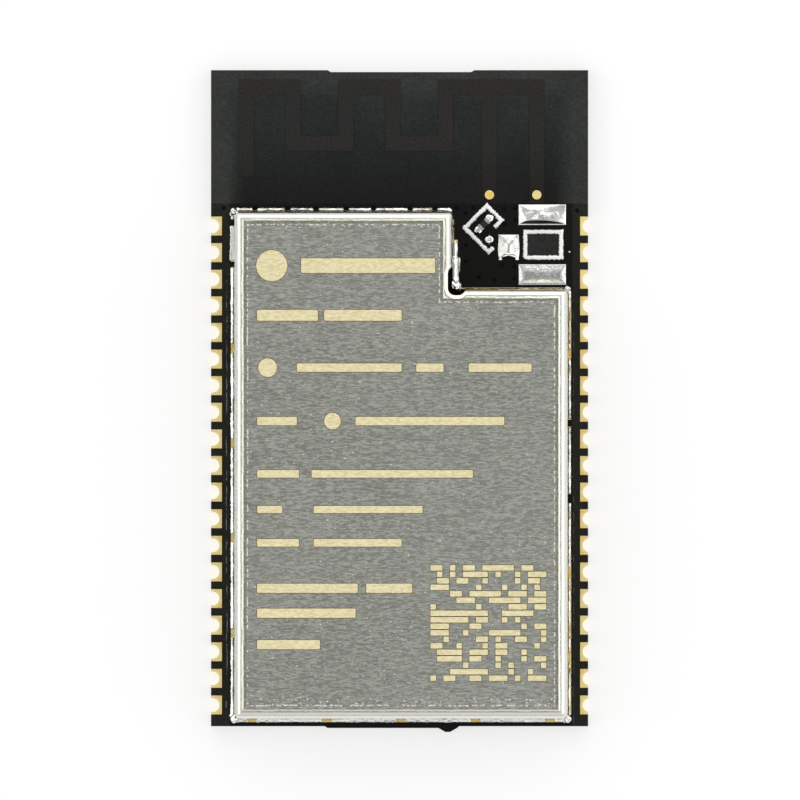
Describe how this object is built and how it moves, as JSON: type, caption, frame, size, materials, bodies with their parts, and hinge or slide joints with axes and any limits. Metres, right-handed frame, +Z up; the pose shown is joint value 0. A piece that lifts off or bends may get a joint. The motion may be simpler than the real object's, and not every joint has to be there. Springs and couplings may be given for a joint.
{
  "type": "wifi module",
  "caption": "Surface-mount wifi module: black board with plated half-holes, a printed meander antenna, a soldered metal shield can and an empty coax land.",
  "frame": {"origin": "under the middle of the board, on the plane of the solder pads", "axes": "+Z up through the shield can, +Y along the board to its antenna end, +X to the right seen from above"},
  "size_m": [0.018, 0.0316, 0.0033],
  "materials": {
    "solder_mask": "satin",
    "masked_copper": "satin",
    "gold_plate": "satin",
    "shield_sheet": "satin",
    "solder": "gloss",
    "tinned_metal": "satin",
    "white_ink": "matte",
    "moulding": "matte",
    "resistor_body": "satin",
    "ceramic_body": "matte",
    "ferrite_body": "matte"
  },
  "bodies": {
    "root": {"circuit_board": "solder_mask", "left_edge_pads": "gold_plate", "right_edge_pads": "gold_plate", "ground_pad_grid": "gold_plate", "antenna_trace": "masked_copper", "antenna_test_points": "gold_plate", "shield_land": "gold_plate", "shield_can": "shield_sheet", "shield_solder": "solder", "coax_ground_lands": "gold_plate", "coax_signal_land": "gold_plate", "coax_land_solder": "solder", "coax_frame_print": "white_ink", "selector_lands": "gold_plate", "selector_solder": "solder", "selector_resistor": "resistor_body", "selector_terminals": "tinned_metal", "selector_frame_print": "white_ink", "main_chip": "moulding", "main_chip_leadframe": "tinned_metal", "flash_chip": "moulding", "flash_chip_leads": "tinned_metal", "memory_chip": "moulding", "memory_chip_leads": "tinned_metal", "crystal_base": "ceramic_body", "crystal_lid": "tinned_metal", "capacitors": "ceramic_body", "capacitor_terminals": "tinned_metal", "inductors": "ferrite_body", "inductor_terminals": "tinned_metal", "resistors": "resistor_body", "resistor_terminals": "tinned_metal", "component_lands": "gold_plate"}
  },
  "joints": []
}
